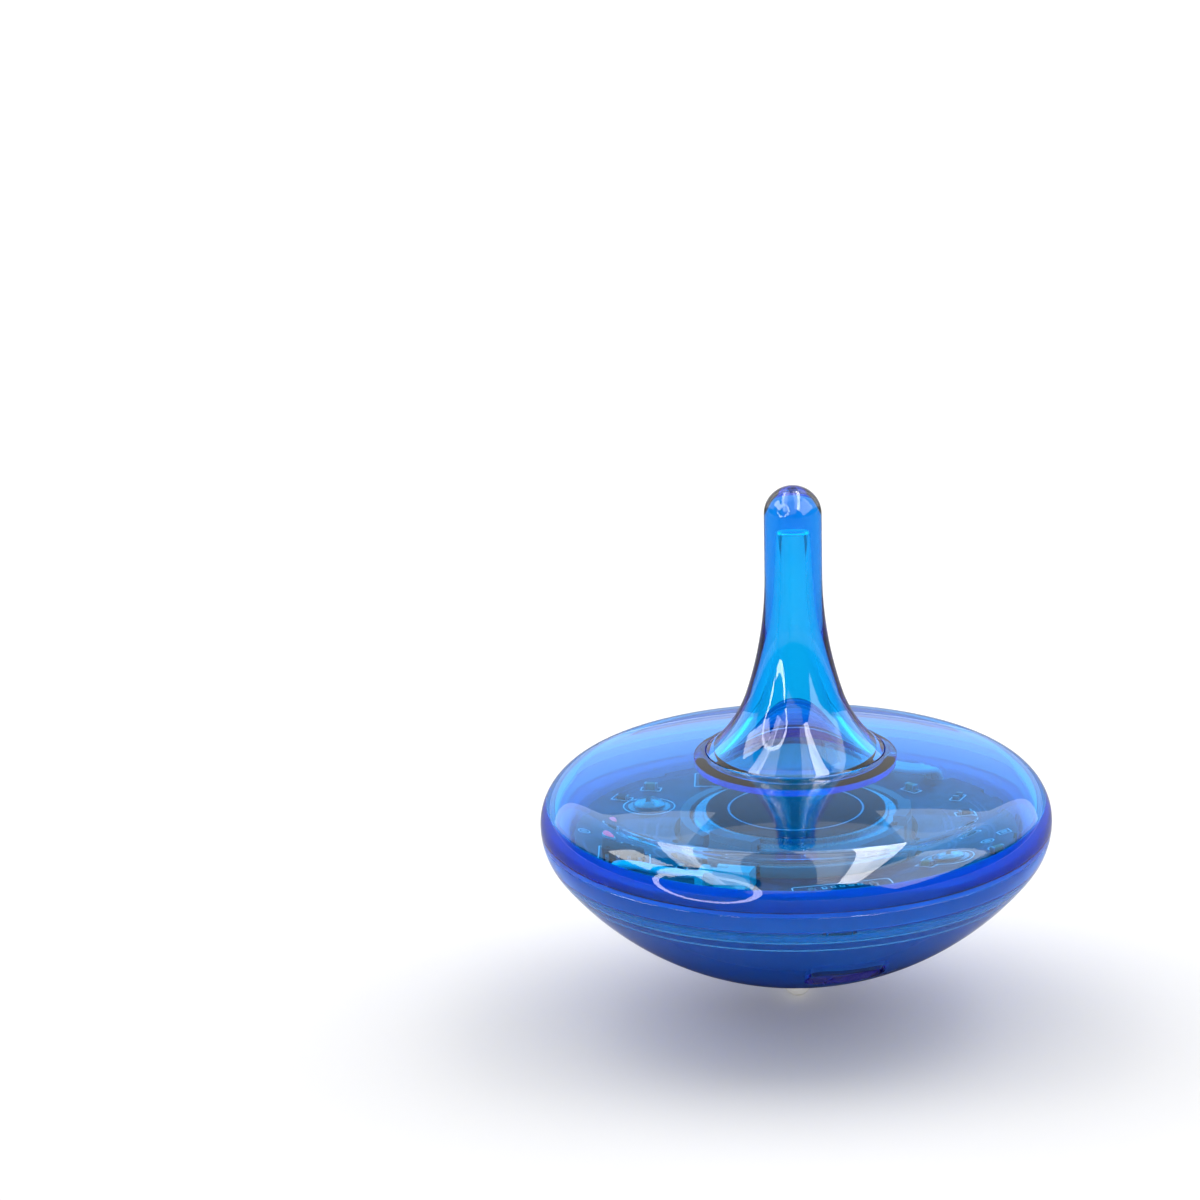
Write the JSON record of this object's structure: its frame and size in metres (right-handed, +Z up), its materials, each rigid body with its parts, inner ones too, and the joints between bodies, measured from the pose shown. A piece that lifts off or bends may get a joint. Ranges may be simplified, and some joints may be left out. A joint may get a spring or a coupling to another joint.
{
  "type": "electric spinning top",
  "caption": "Electric spinning top with a clear blue two-part case, a hollow finger stem, a motor-driven tip and a ring-shaped circuit board that shows through the dome.",
  "frame": {"origin": "the point of the drive tip, where the top stands on a surface", "axes": "+Z up along the spin axis to the finger stem; -Y is the side with the charging port"},
  "size_m": [0.06, 0.06, 0.0629],
  "materials": {
    "clear_blue": "polished, see-through",
    "cream_tip": "smooth",
    "steel": "ground",
    "bearing_steel": "polished",
    "motor_metal": "turned",
    "stator_iron": "insulated",
    "copper": "enamelled wire",
    "bell_steel": "plated",
    "magnet": "plated",
    "white_plastic": "moulded",
    "foam": "open foam",
    "cell_steel": "plated",
    "label": "bare film",
    "board": "dark solder mask",
    "connector": "moulded",
    "lead": "insulated wire",
    "port_metal": "plated",
    "black_plastic": "moulded",
    "red_lens": "clear red",
    "chip_black": "moulded",
    "ceramic": "fired"
  },
  "bodies": {
    "case": {"upper_shell": "clear_blue", "lower_shell": "clear_blue", "finger_stem": "clear_blue", "lower_bearing": "bearing_steel", "upper_bearing": "bearing_steel", "motor_base": "motor_metal", "motor_screws": "steel", "stator_core": "stator_iron", "stator_coils": "copper", "battery_cradle": "white_plastic", "cradle_screws": "steel", "battery_pad": "foam", "battery_cell": "cell_steel", "battery_label": "label", "circuit_board": "board", "board_screws": "steel", "motor_socket": "connector", "motor_plug": "connector", "motor_leads": "lead", "battery_socket": "connector", "battery_plug": "connector", "battery_leads": "lead", "charging_port": "port_metal", "port_tongue": "black_plastic", "driver_chip": "chip_black", "controller_chip": "chip_black", "indicator_led": "red_lens", "chip_resistors": "chip_black", "chip_capacitors": "ceramic"},
    "rotor": {"drive_tip": "cream_tip", "motor_shaft": "steel", "rotor_bell": "bell_steel", "rotor_magnets": "magnet"}
  },
  "joints": [
    {"name": "tip_spin", "type": "hinge", "parent": "case", "child": "rotor", "pos_m": [0, 0, 0], "axis": [0, 0, 1], "continuous": true}
  ]
}
